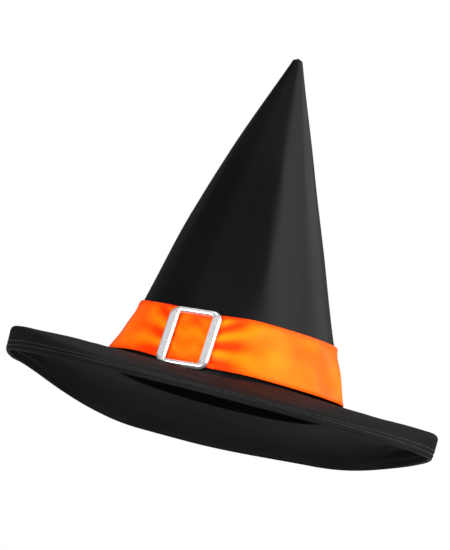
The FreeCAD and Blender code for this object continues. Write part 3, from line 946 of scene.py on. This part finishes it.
# ---------------------------------------------------------------- stage, light, camera
CAMERA_AWAY = 3.0
CAMERA_LEVEL = seat - CAMERA_AWAY * math.tan(math.radians(3.1))
AIM = (*(-0.0218 * along), seat + 0.0819)
ROLL = math.radians(14.6)
VIEW_HEIGHT = 0.45375
SENSOR = 36.0
FLOOR_LEVEL, FLOOR_REACH = -0.26, 12.0
FLOOR_GREY = 0.85
AMBIENT = 0.16
LIT_POINT = Vector((0, 0, 0.15))
# turn from the camera's side and elevation in degrees, distance, width and height, watts
SOFTBOXES = {
    "key_front": (52, 28, 1.9, (1.5, 1.7), 62),
    "key_side": (112, 36, 1.9, (1.9, 1.5), 22),
    "fill_low": (-30, -3, 2.2, (1.5, 0.3), 60),
    "buckle_box": (-50, 36, 1.8, (0.9, 0.9), 1.1),
    "buckle_top": (-50, 68, 1.5, (0.6, 0.6), 3.2),
    "back": (190, 50, 2.0, (1.2, 1.2), 10),
}


def soft_light(name, turn, elevation, distance, size, power):
    """A softbox that faces the hat; its turn is positive to the camera's right."""
    bearing = LEAN_TURN + math.radians(turn)
    raised = math.radians(elevation)
    level = math.cos(raised)
    away = Vector((math.sin(bearing) * level, -math.cos(bearing) * level, math.sin(raised)))
    lamp = bpy.data.lights.new(name, "AREA")
    lamp.shape = "RECTANGLE"
    lamp.size, lamp.size_y = size
    lamp.energy = power
    holder = bpy.data.objects.new(name, lamp)
    holder.location = LIT_POINT + away * distance
    holder.rotation_euler = away.to_track_quat("Z", "Y").to_euler()
    bpy.context.scene.collection.objects.link(holder)


def build_floor():
    mesh = bpy.data.meshes.new("studio_floor")
    corners = [(-1, -1), (1, -1), (1, 1), (-1, 1)]
    places = [(x * FLOOR_REACH, y * FLOOR_REACH, FLOOR_LEVEL) for x, y in corners]
    mesh.from_pydata(places, [], [(0, 1, 2, 3)])
    floor = bpy.data.objects.new("studio_floor", mesh)
    bpy.context.scene.collection.objects.link(floor)
    material, _tree, shader = new_material("pale_floor", Roughness=0.9)
    shader.inputs["Base Color"].default_value = (FLOOR_GREY, FLOOR_GREY, FLOOR_GREY, 1)
    paint(floor, material)


def build_backdrop():
    """A world that is seen white and lights the hat only faintly."""
    world = bpy.data.worlds.new("studio")
    bpy.context.scene.world = world
    world.use_nodes = True
    tree = world.node_tree
    tree.nodes.clear()
    seen = add_node(tree, "ShaderNodeBackground", Strength=1.0, Color=(1, 1, 1, 1))
    lit = add_node(tree, "ShaderNodeBackground", Strength=AMBIENT, Color=(1, 1, 1, 1))
    path = add_node(tree, "ShaderNodeLightPath")
    mix = add_node(tree, "ShaderNodeMixShader")
    output = add_node(tree, "ShaderNodeOutputWorld")
    tree.links.new(path.outputs["Is Camera Ray"], mix.inputs["Fac"])
    tree.links.new(lit.outputs["Background"], mix.inputs[1])
    tree.links.new(seen.outputs["Background"], mix.inputs[2])
    tree.links.new(mix.outputs["Shader"], output.inputs["Surface"])


def build_stage():
    build_floor()
    build_backdrop()
    for name, values in SOFTBOXES.items():
        soft_light(name, *values)
    bpy.context.scene.view_settings.view_transform = "Standard"


def build_camera():
    lens = bpy.data.cameras.new("camera")
    toward = Vector((math.sin(LEAN_TURN), -math.cos(LEAN_TURN), 0))
    aim = Vector(AIM)
    eye = Vector((aim.x, aim.y, 0)) + toward * CAMERA_AWAY
    eye.z = CAMERA_LEVEL
    lens.sensor_width = SENSOR
    lens.lens = SENSOR * (aim - eye).length / VIEW_HEIGHT
    lens.clip_start, lens.clip_end = 0.1, 50
    camera = bpy.data.objects.new("camera", lens)
    camera.location = eye
    look = (aim - eye).to_track_quat("-Z", "Y").to_matrix().to_4x4()
    camera.rotation_euler = (look @ Matrix.Rotation(ROLL, 4, "Z")).to_euler()
    bpy.context.scene.collection.objects.link(camera)
    bpy.context.scene.camera = camera


build_crown()
build_seam_tape()
build_sweatband()
build_brim()
build_stitching()
build_wire()
build_band()
build_band_end()
paint(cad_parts["band_tacks"], ORANGE_THREAD)
build_buckle()
build_stage()
build_camera()
